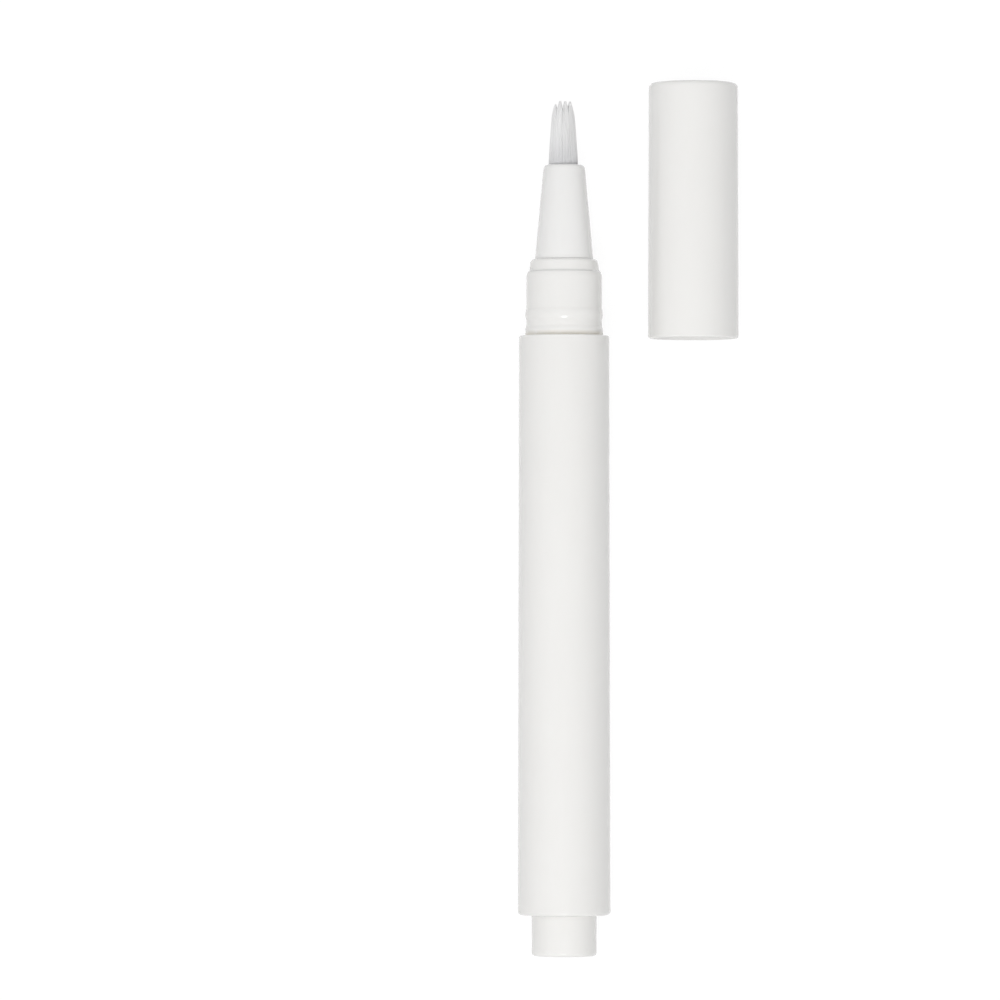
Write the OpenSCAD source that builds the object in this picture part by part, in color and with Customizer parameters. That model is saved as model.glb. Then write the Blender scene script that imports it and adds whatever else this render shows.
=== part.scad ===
// Click brush pen for cuticle oil, lying on its side with its cap off beside it.
// A push of the button turns a ratchet by one tooth, the ratchet turns a screw in a
// fixed nut, and the screw pushes a piston that squeezes oil through a thin tube
// into the brush.
// The pen's axis runs along +Y from the button to the brush, and +Z points up.
// The origin is the centre of the barrel's mouth, on the rim where the cap lands.
// Every piece is drawn standing along +Z, with the mouth at height 0, and laid down.

/* [Barrel] */
// Length of the barrel from its mouth to its tail
barrel_len = 83.4; // [78:0.1:110]
// Outside diameter of the barrel at its mouth
barrel_mouth_d = 13; // [12.8:0.05:14]
// Outside diameter of the barrel at its tail
barrel_tail_d = 13.35; // [13:0.05:14.5]
// Diameter of the oil chamber
chamber_d = 10.6; // [10.3:0.05:10.9]
// Rounding of the rim's outer edge
mouth_edge = 0.25; // [0.05:0.05:0.3]
// Rounding of the tail's outer edge
tail_edge = 0.5; // [0.1:0.05:0.8]
// Depth of the recess in the rim that takes the collar's flange
rim_recess = 0.5; // [0.3:0.05:0.8]
// Thickness of the lip at the tail that keeps the button in
tail_lip = 1.6; // [1:0.1:2.4]
// Width of the ledge in the bore that carries the spring seat
seat_ledge = 0.15; // [0.08:0.01:0.2]
// Width of the rib in the bore that keeps the button from turning
key_w = 1.2; // [0.8:0.1:1.8]

/* [Collar and ring] */
// Diameter of the collar that the cap slides over
collar_d = 10.9; // [10.8:0.02:11]
// Height of the collar above the mouth
collar_len = 9.3; // [8:0.1:11]
// Diameter of the flange at the foot of the collar
flange_d = 11.2; // [11.1:0.02:11.4]
// Height of the flange above the mouth, up to where it slopes in
flange_h = 0.9; // [0.6:0.05:1.1]
// Height of the slope from the flange in to the collar
flange_slope = 0.45; // [0.3:0.05:0.6]
// How far the friction bead stands out of the collar
bead_proud = 0.15; // [0.05:0.01:0.2]
// Height of the bead's crest above the mouth
bead_at = 3.1; // [2.8:0.05:4]
// Width of the bead along the collar
bead_w = 1.6; // [1.4:0.1:2.4]
// Rounding of the collar's top edge
collar_edge = 0.5; // [0.1:0.05:0.55]
// Length of the plug that closes the chamber
plug_len = 7; // [5:0.1:9]
// Wall of the plug
plug_wall = 1.1; // [0.8:0.05:1.4]
// Thickness of the floor between the chamber and the nozzle
floor_t = 2; // [1.4:0.1:2.4]
// How far the floor's lower face lies below the mouth
floor_drop = 1; // [0.6:0.05:1.2]
// Diameter of the clamping ring at its foot
ring_d = 10.1; // [9.8:0.05:10.6]
// Diameter of the clamping ring at its top
ring_top_d = 9.75; // [9.5:0.05:10]
// Height of the clamping ring
ring_h = 1.8; // [1.4:0.1:2.6]
// Rounding of the clamping ring's top edge
ring_edge = 0.6; // [0.1:0.05:0.65]

/* [Nozzle] */
// Length of the nozzle's cone
nozzle_len = 13.5; // [11:0.1:16]
// Diameter of the cone at its foot
nozzle_base_d = 8.4; // [8.2:0.05:8.5]
// Diameter of the cone at its mouth
nozzle_tip_d = 6; // [5.8:0.02:6.6]
// Rounding of the nozzle's mouth
nozzle_edge = 0.6; // [0.1:0.05:0.65]
// Diameter of the nozzle's foot inside the collar
nozzle_foot_d = 7.8; // [7.4:0.05:8]
// Diameter of the hollow in the nozzle's foot
nozzle_hollow_d = 5.2; // [4.4:0.1:5.6]
// Diameter of the socket that holds the brush
socket_d = 4.4; // [4.2:0.02:4.6]
// Depth of that socket
socket_depth = 5.6; // [5:0.1:6.6]
// Thickness of the wall between the socket and the hollow
nozzle_wall = 5; // [3:0.1:6]
// Outside diameter of the feed tube
tube_d = 1.2; // [1:0.02:1.4]
// Bore of the feed tube
tube_bore = 0.7; // [0.5:0.02:0.8]
// How far the feed tube reaches into the brush past the nozzle
tube_reach = 2.9; // [2:0.1:4]
// How far the feed tube reaches below the collar's floor
tube_tail = 2; // [1:0.1:3]

/* [Brush] */
// How far the brush stands out of the nozzle
brush_len = 9.2; // [7:0.1:11]
// Width of the brush two thirds of the way up
brush_belly_d = 3.64; // [3.2:0.02:3.9]
// Width of the brush at its tip
brush_tip_d = 2.5; // [2:0.02:2.9]
// Number of bristles
bristles = 320; // [300:1:400]
// Thickness of a bristle at its root
bristle_d = 0.14; // [0.1:0.01:0.15]
// Thickness of a bristle at its tip
bristle_tip_d = 0.07; // [0.05:0.01:0.08]
// Number of clumps that the tips gather in
clumps = 5; // [3:1:7]
// How much shorter the outer bristles are
edge_drop = 1; // [0.4:0.1:1.6]
// How much shorter the shortest clump is
clump_drop = 0.5; // [0:0.05:0.8]
// Thickness of the melted slice that the bristles grow from
root_slice = 0.5; // [0.4:0.05:0.8]
// Length of the ferrule behind the bristles
ferrule_len = 3; // [2:0.1:3.4]

/* [Piston] */
// Length of the piston
piston_len = 6; // [5.2:0.1:8]
// Thickness of the piston's ring seal
seal_d = 1; // [0.8:0.05:1.3]
// Distance between the piston and the nut at rest
piston_rest_gap = 0.3; // [0.2:0.05:0.6]
// Distance that is left in front of the empty chamber's piston
piston_stop_gap = 0.5; // [0.3:0.05:1]
// Diameter of the screw's head, which snaps into the piston
head_d = 3.6; // [3.2:0.05:4]
// Thickness of the screw's head
head_t = 1.1; // [0.8:0.05:1.4]
// Diameter of the neck behind that head
neck_d = 2.2; // [1.8:0.05:2.4]
// Length of the neck inside the piston
neck_len = 1; // [0.8:0.05:1.4]

/* [Feed screw] */
// Diameter over the screw's thread
screw_d = 4; // [3.8:0.02:4.1]
// Depth of the thread, and of the two flats along it
thread_depth = 0.45; // [0.3:0.01:0.5]
// Travel of the screw in one turn, over its two starts
thread_lead = 3; // [2.4:0.1:3.6]
// Length of the fixed nut
nut_len = 4.5; // [3.6:0.1:5.5]
// Length of the bore that grips the screw's flats
grip_len = 3.2; // [2.6:0.1:4.5]
// Room between the screw's tail and the pressed button
tail_gap = 0.3; // [0.2:0.05:1]

/* [Ratchet] */
// Number of teeth on each ratchet wheel
teeth = 12; // [10:1:16]
// Depth of a ratchet tooth
tooth_depth = 0.45; // [0.3:0.01:0.5]
// Width of each ratchet wheel
wheel_len = 1.6; // [1.2:0.1:2.2]
// Number of pawls on each pawl ring
pawls = 3; // [2:1:4]
// Thickness of a pawl
pawl_t = 0.3; // [0.2:0.02:0.36]
// Wall of the pawl ring in the rotor's cup
pawl_ring_wall = 0.32; // [0.24:0.02:0.36]
// Wall of the drive sleeve
sleeve_wall = 0.55; // [0.45:0.01:0.6]
// Step from the rear wheel's tips out to the front wheel's
wheel_step = 0.45; // [0.3:0.01:0.6]
// Thickness of the spring seat
seat_t = 1.2; // [0.8:0.05:1.8]
// Wall of the cam rotor's tube
rotor_wall = 0.68; // [0.55:0.01:0.72]
// Wall of the cup at the rotor's front
cup_wall = 0.35; // [0.25:0.01:0.4]
// Thickness of that cup's floor
cup_floor = 0.6; // [0.4:0.05:1]
// Diameter of the rotor's two lugs
lug_d = 1.1; // [0.9:0.02:1.4]
// Length of the sleeve's snap rim behind the rotor
rim_len = 0.6; // [0.4:0.05:0.9]

/* [Button and spring] */
// Diameter of the button
button_d = 9.36; // [9.2:0.02:9.5]
// How far the button stands out of the tail
button_proud = 5.9; // [4.6:0.1:8]
// Travel of the button
stroke = 3; // [2.4:0.1:3.4]
// Thickness of the button's end
button_end_t = 1.2; // [0.8:0.05:1.8]
// Rounding of the button's end
button_edge = 0.5; // [0.2:0.05:0.8]
// Thickness of the button's two flanges
button_flange_t = 1; // [0.7:0.05:1.4]
// Room for the spring between its seat and the button at rest
spring_room = 10.8; // [10:0.1:13]
// Thickness of the spring's wire
wire_d = 0.6; // [0.5:0.02:0.66]
// Number of turns of the spring
spring_turns = 6; // [5:0.5:7]

/* [Cap] */
// Length of the cap
cap_len = 36.8; // [36.2:0.1:42]
// Outside diameter of the cap at its mouth
cap_mouth_d = 13.05; // [12.8:0.05:14]
// Outside diameter of the cap at its closed end
cap_top_d = 12.85; // [12.7:0.05:14]
// Play between the collar and the cap's bore, all round
cap_play = 0.17; // [0.16:0.01:0.22]
// Depth of the cap's bore, down to the liner
cap_bore_depth = 14.2; // [12.6:0.1:15]
// Thickness of the cap's closed end
cap_end_t = 1.1; // [0.8:0.05:1.4]
// Rounding of the cap's closed end
cap_edge = 0.8; // [0.1:0.05:0.9]
// Rounding of the cap's mouth
cap_mouth_edge = 0.3; // [0.05:0.05:0.35]
// Step from the cap's bore in to the liner's seat
liner_step = 0.32; // [0.2:0.02:0.5]
// Wall of the liner
liner_wall = 0.8; // [0.6:0.05:0.9]
// Width of the lip in the liner's mouth that seals on the nozzle
liner_lip = 0.4; // [0.2:0.05:0.5]
// Length of that lip
liner_lip_len = 1; // [0.6:0.1:2]
// Thickness of the liner's closed end
liner_end_t = 0.6; // [0.4:0.05:0.8]
// Distance from the pen's axis to the cap's
cap_apart = 18.6; // [16:0.1:30]
// How far the cap's mouth lies behind the barrel's mouth
cap_back = 0.4; // [0:0.1:3]

/* [Fits] */
// Gap between pieces that are pressed together
press_gap = 0.02; // [0:0.01:0.03]
// Gap all round what slides
slide_gap = 0.1; // [0.06:0.01:0.12]
// Gap all round what turns
turn_gap = 0.12; // [0.08:0.01:0.14]
// Gap between the ends of what turns
end_gap = 0.1; // [0.05:0.01:0.15]
// Gap all round the screw in its nut and in the sleeve
thread_gap = 0.15; // [0.12:0.01:0.18]
// Gap between the pawls and the ratchet teeth
pawl_gap = 0.06; // [0.04:0.01:0.08]

/* [Hidden] */
$fn = 96;

shell_white = [0.94, 0.935, 0.92];
nozzle_white = [0.92, 0.92, 0.9];
bristle_grey = [0.85, 0.85, 0.85];
works_white = [0.88, 0.88, 0.86];
works_grey = [0.55, 0.57, 0.6];
seal_black = [0.12, 0.12, 0.13];
steel = [0.7, 0.71, 0.73];

// How far a cut runs past the face that it opens
overrun = slide_gap / 2;
// Steps in a rounded edge, and in the bead
edge_steps = 6;
bead_steps = 8;
// Points round the thread and the spring's wire, and their rings along each turn
thread_sides = 16;
thread_rings_per_lead = 12;
wire_sides = 6;
spring_rings_per_turn = 16;

// Radii from the axis outwards
screw_r = screw_d / 2;
flat_half = screw_r - thread_depth;
sleeve_bore_r = screw_r + thread_gap;
sleeve_r = sleeve_bore_r + sleeve_wall;
rear_tip_r = sleeve_r + tooth_depth;
front_tip_r = rear_tip_r + wheel_step;
front_root_r = front_tip_r - tooth_depth;
seat_bore_r = rear_tip_r + turn_gap;
rotor_bore_r = sleeve_r + turn_gap;
rotor_r = rotor_bore_r + rotor_wall;
button_bore_r = rotor_r + turn_gap;
button_r = button_d / 2;
tail_hole_r = button_r + slide_gap;
chamber_r = chamber_d / 2;
works_r = chamber_r - seat_ledge;
button_flange_r = works_r - turn_gap;
wire_r = wire_d / 2;
spring_r = works_r - 2 * turn_gap - wire_r;
cup_r = spring_r - wire_r - 2 * turn_gap;
pawl_ring_r = cup_r - cup_wall - press_gap;
lug_r = lug_d / 2;

// Places along the axis, from the mouth to the tail
tail_at = -barrel_len;
button_end_at = tail_at - button_proud;
screw_tail_at = button_end_at + button_end_t + stroke + tail_gap;
// What the screw keeps inside the nut and the sleeve when the chamber is empty
screw_held = nut_len + end_gap + grip_len + tail_gap;
// The screw is as long as its travel and what is held, which sets the nut's place
nut_front_at = (screw_tail_at - plug_len - piston_stop_gap - piston_rest_gap
    - piston_len + screw_held) / 2;
nut_rear_at = nut_front_at - nut_len;
sleeve_front_at = nut_rear_at - end_gap;
front_wheel_at = sleeve_front_at - wheel_len;
seat_front_at = front_wheel_at - end_gap;
seat_rear_at = seat_front_at - seat_t;
rotor_front_at = seat_rear_at - end_gap;
rear_wheel_at = rotor_front_at - wheel_len;
cup_rear_at = rear_wheel_at - end_gap - cup_floor;
button_front_at = seat_rear_at - spring_room;
lug_at = button_front_at - button_flange_t - lug_d - slide_gap;
rotor_rear_at = lug_at - lug_d;
rim_front_at = rotor_rear_at - end_gap;
sleeve_rear_at = rim_front_at - rim_len;
stop_flange_at = tail_at + tail_lip + slide_gap;
piston_rear_at = nut_front_at + piston_rest_gap;
piston_front_at = piston_rear_at + piston_len;
piston_travel = -plug_len - piston_stop_gap - piston_front_at;

// Turn of the ratchet for one push, and of the sleeve for the whole feed
click_deg = 360 / teeth;
feed_deg = 360 * piston_travel / thread_lead;

// Places at the brush end
floor_top_at = floor_t - floor_drop;
ring_top_at = collar_len + ring_h;
nozzle_top_at = ring_top_at + nozzle_len;
socket_floor_at = nozzle_top_at - socket_depth;
hollow_top_at = socket_floor_at - nozzle_wall;
slice_at = socket_floor_at + ferrule_len;
slice_top_at = slice_at + root_slice;
brush_top_at = nozzle_top_at + brush_len;
tube_top_at = nozzle_top_at + tube_reach;
tube_r = tube_d / 2;
root_r = socket_d / 2 - slide_gap;

// The cap
cap_bore_r = collar_d / 2 + cap_play;
liner_r = cap_bore_r - liner_step - press_gap;
cap_drop = (barrel_tail_d - cap_mouth_d) / 2;

echo(piston_travel = piston_travel, feed_turns = feed_deg / 360, click_deg = click_deg);
echo(nut_front_at = nut_front_at, brush_top_at = brush_top_at, button_end_at = button_end_at);

function blend(a, b, share) = a + (b - a) * share;

// Points of a rounded edge about a centre, from one angle to another
function edge(centre_r, centre_h, radius, from, to) = [
    for (step = [0 : edge_steps])
        let (turn = blend(from, to, step / edge_steps))
            [centre_r + radius * cos(turn), centre_h + radius * sin(turn)]
];

// Faces of a tube through rings of points: its sides and its two ends
function tube_faces(rings, sides) = concat(
    [for (ring = [0 : rings - 2], side = [0 : sides - 1])
        let (here = ring * sides + side, next = ring * sides + (side + 1) % sides)
            [here, here + sides, next + sides]],
    [for (ring = [0 : rings - 2], side = [0 : sides - 1])
        let (here = ring * sides + side, next = ring * sides + (side + 1) % sides)
            [here, next + sides, next]],
    [for (side = [1 : sides - 2]) [0, side, side + 1]],
    [for (side = [1 : sides - 2])
        let (last = (rings - 1) * sides)
            [last, last + side + 1, last + side]]
);

// Lays a piece that stands along +Z down along +Y
module laid_down() {
    rotate([-90, 0, 0])
        children();
}

// The cap's place beside the pen, resting on the same surface
module beside() {
    translate([cap_apart, 0, -cap_drop])
        laid_down()
            translate([0, 0, -cap_back])
                children();
}

module turned(outline) {
    rotate_extrude()
        polygon(outline);
}

module ring_of(outer_r, inner_r, from, to) {
    turned([[inner_r, from], [outer_r, from], [outer_r, to], [inner_r, to]]);
}

module barrel() {
    mouth_r = barrel_mouth_d / 2;
    tail_r = barrel_tail_d / 2;
    recess_r = flange_d / 2 + slide_gap / 2;
    key_len = stroke + button_flange_t + 2 * slide_gap;
    color(shell_white)
        laid_down() {
            turned(concat(
                [[tail_hole_r, tail_at]],
                edge(tail_r - tail_edge, tail_at + tail_edge, tail_edge, -90, 0),
                edge(mouth_r - mouth_edge, -mouth_edge, mouth_edge, 0, 90),
                [
                    [recess_r, 0], [recess_r, -rim_recess],
                    [chamber_r, -rim_recess], [chamber_r, seat_rear_at],
                    [works_r, seat_rear_at], [works_r, tail_at + tail_lip],
                    [tail_hole_r, tail_at + tail_lip]
                ]
            ));
            // the rib that keeps the button from turning, rooted in the lip and the wall
            translate([-key_w / 2, tail_hole_r, tail_at + tail_lip / 2])
                cube([key_w, works_r - tail_hole_r + seat_ledge, key_len + tail_lip / 2]);
        }
}

module collar() {
    collar_r = collar_d / 2;
    flange_r = flange_d / 2;
    plug_r = chamber_r - press_gap;
    bore_r = nozzle_foot_d / 2 + press_gap;
    tube_hole_r = tube_r + press_gap;
    color(shell_white)
        laid_down()
            turned(concat(
                [
                    [plug_r - plug_wall, -plug_len], [plug_r, -plug_len],
                    [plug_r, -rim_recess], [flange_r, -rim_recess],
                    [flange_r, flange_h], [collar_r, flange_h + flange_slope]
                ],
                [for (step = [0 : bead_steps])
                    let (turn = 180 * step / bead_steps)
                        [
                            collar_r + bead_proud * sin(turn),
                            bead_at - bead_w / 2 * cos(turn)
                        ]],
                edge(collar_r - collar_edge, collar_len - collar_edge, collar_edge, 0, 90),
                [
                    [bore_r, collar_len], [bore_r, floor_top_at],
                    [tube_hole_r, floor_top_at], [tube_hole_r, -floor_drop],
                    [plug_r - plug_wall, -floor_drop]
                ]
            ));
}

module nozzle_ring() {
    top_r = ring_top_d / 2;
    inner_r = nozzle_foot_d / 2 + press_gap;
    color(shell_white)
        laid_down()
            turned(concat(
                [[inner_r, collar_len], [ring_d / 2, collar_len]],
                edge(top_r - ring_edge, ring_top_at - ring_edge, ring_edge, 0, 90),
                [[inner_r, ring_top_at]]
            ));
}

module nozzle() {
    foot_r = nozzle_foot_d / 2;
    hollow_r = nozzle_hollow_d / 2;
    socket_r = socket_d / 2;
    tip_r = nozzle_tip_d / 2;
    tube_hole_r = tube_r + press_gap;
    color(nozzle_white)
        laid_down()
            turned(concat(
                [
                    [hollow_r, floor_top_at], [foot_r, floor_top_at],
                    [foot_r, ring_top_at], [nozzle_base_d / 2, ring_top_at]
                ],
                edge(tip_r - nozzle_edge, nozzle_top_at - nozzle_edge, nozzle_edge, 0, 90),
                [
                    [socket_r, nozzle_top_at], [socket_r, socket_floor_at],
                    [tube_hole_r, socket_floor_at], [tube_hole_r, hollow_top_at],
                    [hollow_r, hollow_top_at]
                ]
            ));
}

module brush_ferrule() {
    color(works_white)
        laid_down()
            ring_of(socket_d / 2 - press_gap, tube_r + press_gap, socket_floor_at, slice_at);
}

// One bristle's centre at each of its rings. Roots fill a ring round the feed tube,
// and tips close in over its end. Turning and radius change steadily across the
// brush, so no two bristles cross.
function bristle_path(number) =
    let (
        golden_turn = 360 * (2 - (1 + sqrt(5)) / 2),
        area_share = (number + 0.5) / bristles,
        turn = (number * golden_turn) % 360,
        gather_share = 0.55,
        belly_gather_share = 0.4,
        tip_turn = turn - gather_share * 180 / PI / clumps * sin(clumps * turn),
        mid_turn = blend(turn, tip_turn, belly_gather_share),
        inner_r = tube_r + bristle_d,
        outer_r = root_r - bristle_d / 2,
        root_at_r = sqrt(blend(pow(inner_r, 2), pow(outer_r, 2), area_share)),
        belly_outer_r = (brush_belly_d - bristle_d) / 2,
        belly_at_r = sqrt(blend(pow(inner_r, 2), pow(belly_outer_r, 2), area_share)),
        tip_at_r = (brush_tip_d - bristle_tip_d) / 2 * sqrt(area_share),
        short_clump = pow(max(0, -cos(tip_turn)), 2) * sqrt(area_share),
        belly_share = 0.6,
        tip_at = brush_top_at - edge_drop * pow(area_share, 2) - clump_drop * short_clump
    )
    [
        [root_at_r * cos(turn), root_at_r * sin(turn), slice_top_at - root_slice / 2],
        [
            belly_at_r * cos(mid_turn), belly_at_r * sin(mid_turn),
            nozzle_top_at + brush_len * belly_share
        ],
        [tip_at_r * cos(tip_turn), tip_at_r * sin(tip_turn), tip_at]
    ];

module bristle(number) {
    sides = 3;
    path = bristle_path(number);
    radius = [bristle_d / 2, bristle_d / 2, bristle_tip_d / 2];
    points = [
        for (ring = [0 : 2], side = [0 : sides - 1])
            path[ring] + radius[ring] * [cos(360 * side / sides), sin(360 * side / sides), 0]
    ];
    polyhedron(points, tube_faces(3, sides));
}

module brush_tuft() {
    color(bristle_grey)
        laid_down() {
            ring_of(root_r, tube_r + press_gap, slice_at, slice_top_at);
            for (number = [0 : bristles - 1])
                bristle(number);
        }
}

module feed_tube() {
    color(nozzle_white)
        laid_down()
            ring_of(tube_r, tube_bore / 2, -floor_drop - tube_tail, tube_top_at);
}

module piston() {
    piston_r = chamber_r - slide_gap;
    waist_r = piston_r - seal_d;
    waist_mid_at = piston_front_at - piston_len / 3;
    waist_share = 1.2;
    waist_half = waist_share * seal_d / 2;
    neck_hole_r = neck_d / 2 + turn_gap;
    head_hole_r = head_d / 2 + turn_gap;
    head_from = piston_rear_at + neck_len;
    head_to = head_from + head_t + 2 * end_gap;
    color(works_white)
        laid_down()
            turned([
                [neck_hole_r, piston_rear_at], [piston_r, piston_rear_at],
                [piston_r, waist_mid_at - waist_half], [waist_r, waist_mid_at - waist_half],
                [waist_r, waist_mid_at + waist_half], [piston_r, waist_mid_at + waist_half],
                [piston_r, piston_front_at - seal_d / 2], [piston_r - seal_d, piston_front_at],
                [0, piston_front_at], [0, head_to],
                [head_hole_r, head_to], [head_hole_r, head_from],
                [neck_hole_r, head_from]
            ]);
}

module piston_seal() {
    outer_r = chamber_r - slide_gap / 2;
    inner_r = chamber_r - slide_gap - seal_d + press_gap;
    waist_mid_at = piston_front_at - piston_len / 3;
    color(seal_black)
        laid_down()
            rotate_extrude()
                translate([(outer_r + inner_r) / 2, waist_mid_at])
                    circle(d = outer_r - inner_r);
}

// A two-start thread: at every height the outline is a rounded figure with two
// crests, and the crests turn once in each lead. Widening it by a gap gives the nut.
function thread_ring(height, gap, flat) = [
    for (side = [0 : thread_sides - 1])
        let (
            turn = 360 * side / thread_sides,
            crest = cos(2 * (turn - 360 * (height - screw_tail_at) / thread_lead)),
            radius = screw_r - thread_depth / 2 * (1 - crest) + gap
        )
            [max(-flat, min(flat, radius * cos(turn))), radius * sin(turn), height]
];

module thread(from, to, gap, flat) {
    rings = ceil((to - from) / thread_lead * thread_rings_per_lead) + 1;
    points = [
        for (ring = [0 : rings - 1])
            each thread_ring(blend(from, to, ring / (rings - 1)), gap, flat)
    ];
    polyhedron(points, tube_faces(rings, thread_sides));
}

module feed_screw() {
    thread_front_at = piston_rear_at - end_gap;
    head_at = piston_rear_at + neck_len + end_gap;
    color(works_white)
        laid_down() {
            thread(screw_tail_at, thread_front_at, 0, flat_half);
            turned([
                [0, thread_front_at - neck_len], [neck_d / 2, thread_front_at - neck_len],
                [neck_d / 2, head_at], [head_d / 2, head_at],
                [head_d / 2, head_at + head_t], [0, head_at + head_t]
            ]);
        }
}

module drive_nut() {
    nut_r = chamber_r - press_gap;
    color(works_white)
        laid_down()
            difference() {
                turned([
                    [0, nut_rear_at], [nut_r, nut_rear_at],
                    [nut_r, nut_front_at - seat_ledge], [nut_r - seat_ledge, nut_front_at],
                    [0, nut_front_at]
                ]);
                thread(nut_rear_at - overrun, nut_front_at + overrun, thread_gap, screw_d);
            }
}

// A saw-toothed wheel whose steep faces look back against the drive
module ratchet_wheel(root_r, tip_r, from) {
    translate([0, 0, from])
        linear_extrude(wheel_len)
            polygon([
                for (tooth = [0 : teeth - 1], corner = [0, 1])
                    let (radius = corner == 0 ? root_r : tip_r)
                        radius * [cos(tooth * click_deg), sin(tooth * click_deg)]
            ]);
}

// A springy ring: each pawl leaves the ring, follows the ramp of a tooth inwards and
// ends just before the next tooth's steep face
module pawl_ring(outer_r, inner_r, root_r, from, to) {
    tip_turn_gap = 360 * pawl_gap / (2 * PI * root_r);
    reach_deg = click_deg * (inner_r + pawl_t / 2 - root_r - pawl_gap) / tooth_depth;
    pawl_steps = 6;
    translate([0, 0, from])
        linear_extrude(to - from)
            intersection() {
                circle(outer_r);
                union() {
                    difference() {
                        circle(outer_r);
                        circle(inner_r);
                    }
                    for (pawl = [0 : pawls - 1])
                        rotate(round(pawl * teeth / pawls) * click_deg - tip_turn_gap)
                            polygon(concat(
                                [for (step = [0 : pawl_steps])
                                    let (
                                        back = reach_deg * step / pawl_steps,
                                        radius = root_r + pawl_gap
                                            + tooth_depth * (back + tip_turn_gap) / click_deg
                                    )
                                        radius * [cos(-back), sin(-back)]],
                                [for (step = [pawl_steps : -1 : 0])
                                    let (
                                        back = reach_deg * step / pawl_steps,
                                        radius = root_r + pawl_gap + pawl_t
                                            + tooth_depth * (back + tip_turn_gap) / click_deg
                                    )
                                        radius * [cos(-back), sin(-back)]]
                            ));
                }
            }
}

module check_pawls() {
    ring_r = chamber_r - press_gap;
    inner_r = front_tip_r + (chamber_r - front_tip_r) / 2;
    color(works_grey)
        laid_down()
            pawl_ring(ring_r, inner_r, front_root_r, seat_front_at, nut_rear_at);
}

module spring_seat() {
    color(works_white)
        laid_down()
            ring_of(chamber_r - press_gap, seat_bore_r, seat_rear_at, seat_front_at);
}

module drive_sleeve() {
    rim_r = rotor_bore_r + turn_gap;
    color(works_grey)
        laid_down()
            difference() {
                union() {
                    turned([
                        [0, sleeve_rear_at], [rotor_bore_r, sleeve_rear_at],
                        [rim_r, rim_front_at - turn_gap], [rim_r, rim_front_at],
                        [sleeve_r, rim_front_at], [sleeve_r, rotor_front_at],
                        [rear_tip_r, rotor_front_at], [rear_tip_r, front_wheel_at],
                        [front_root_r, front_wheel_at], [front_root_r, sleeve_front_at],
                        [0, sleeve_front_at]
                    ]);
                    ratchet_wheel(front_root_r, front_tip_r, front_wheel_at);
                    ratchet_wheel(sleeve_r, rear_tip_r, rear_wheel_at);
                }
                // the flat-sided bore that turns the screw
                intersection() {
                    translate([0, 0, sleeve_front_at - grip_len - overrun])
                        cylinder(h = grip_len + 2 * overrun, r = sleeve_bore_r);
                    translate([
                        -flat_half - thread_gap, -sleeve_r,
                        sleeve_front_at - grip_len - overrun
                    ])
                        cube([2 * (flat_half + thread_gap), 2 * sleeve_r, grip_len + 2 * overrun]);
                }
                // the round bore that the rest of the screw lies in
                translate([0, 0, sleeve_rear_at - overrun])
                    cylinder(h = sleeve_front_at - grip_len - sleeve_rear_at + overrun,
                        r = sleeve_bore_r);
            }
}

module cam_rotor() {
    lug_reach = (button_bore_r + button_r) / 2;
    color(works_white)
        laid_down() {
            turned([
                [rotor_bore_r, rotor_rear_at], [rotor_r, rotor_rear_at],
                [rotor_r, cup_rear_at], [cup_r, cup_rear_at],
                [cup_r, rotor_front_at], [cup_r - cup_wall, rotor_front_at],
                [cup_r - cup_wall, rear_wheel_at - end_gap],
                [rotor_bore_r, rear_wheel_at - end_gap]
            ]);
            for (side = [0, 180])
                rotate([0, 0, side])
                    translate([(rotor_bore_r + rotor_r) / 2, 0, lug_at])
                        rotate([0, 90, 0])
                            cylinder(h = lug_reach - (rotor_bore_r + rotor_r) / 2, r = lug_r);
        }
}

module drive_pawls() {
    color(works_grey)
        laid_down()
            pawl_ring(pawl_ring_r, pawl_ring_r - pawl_ring_wall, sleeve_r,
                rear_wheel_at, rotor_front_at);
}

// The spring's centre line: the end turns lie close and the others are spaced evenly
spring_from = button_front_at + wire_r + end_gap / 2;
spring_to = seat_rear_at - wire_r - end_gap / 2;
end_pitch_share = 1.8;
end_turn_pitch = end_pitch_share * wire_d;
open_pitch = (spring_to - spring_from - 2 * end_turn_pitch) / (spring_turns - 2);
function spring_height(turns) =
    turns < 1 ? spring_from + end_turn_pitch * turns
        : turns < spring_turns - 1 ? spring_from + end_turn_pitch + open_pitch * (turns - 1)
            : spring_to - end_turn_pitch * (spring_turns - turns);
spring_line = [
    for (ring = [0 : spring_turns * spring_rings_per_turn])
        let (turns = ring / spring_rings_per_turn)
            [spring_r * cos(360 * turns), spring_r * sin(360 * turns), spring_height(turns)]
];
// Distance between neighbouring turns, measured between points of the centre line
spring_gap = min([
    for (ring = [0 : len(spring_line) - 1 - spring_rings_per_turn])
        for (other = [ring + spring_rings_per_turn / 2
                : min(ring + spring_rings_per_turn * 3 / 2, len(spring_line) - 1)])
            norm(spring_line[other] - spring_line[ring])
]) - wire_d;
echo(spring_gap = spring_gap);

module return_spring() {
    points = [
        for (ring = [0 : len(spring_line) - 1], side = [0 : wire_sides - 1])
            let (
                turn = 360 * ring / spring_rings_per_turn,
                out = spring_r + wire_r * cos(360 * side / wire_sides)
            )
                [
                    out * cos(turn), out * sin(turn),
                    spring_line[ring][2] + wire_r * sin(360 * side / wire_sides)
                ]
    ];
    color(steel)
        laid_down()
            polyhedron(points, tube_faces(len(spring_line), wire_sides));
}

// Half of one cam slot: it winds forward by half the click over half the stroke
module cam_slot_half(from_share) {
    slot_r = lug_r + turn_gap;
    hull()
        for (share = [from_share, from_share + 0.5])
            rotate([0, 0, click_deg * share])
                translate([button_bore_r - turn_gap, 0, lug_at - stroke * share])
                    rotate([0, 90, 0])
                        cylinder(h = button_r - button_bore_r + 2 * turn_gap, r = slot_r, $fn = 32);
}

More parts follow.
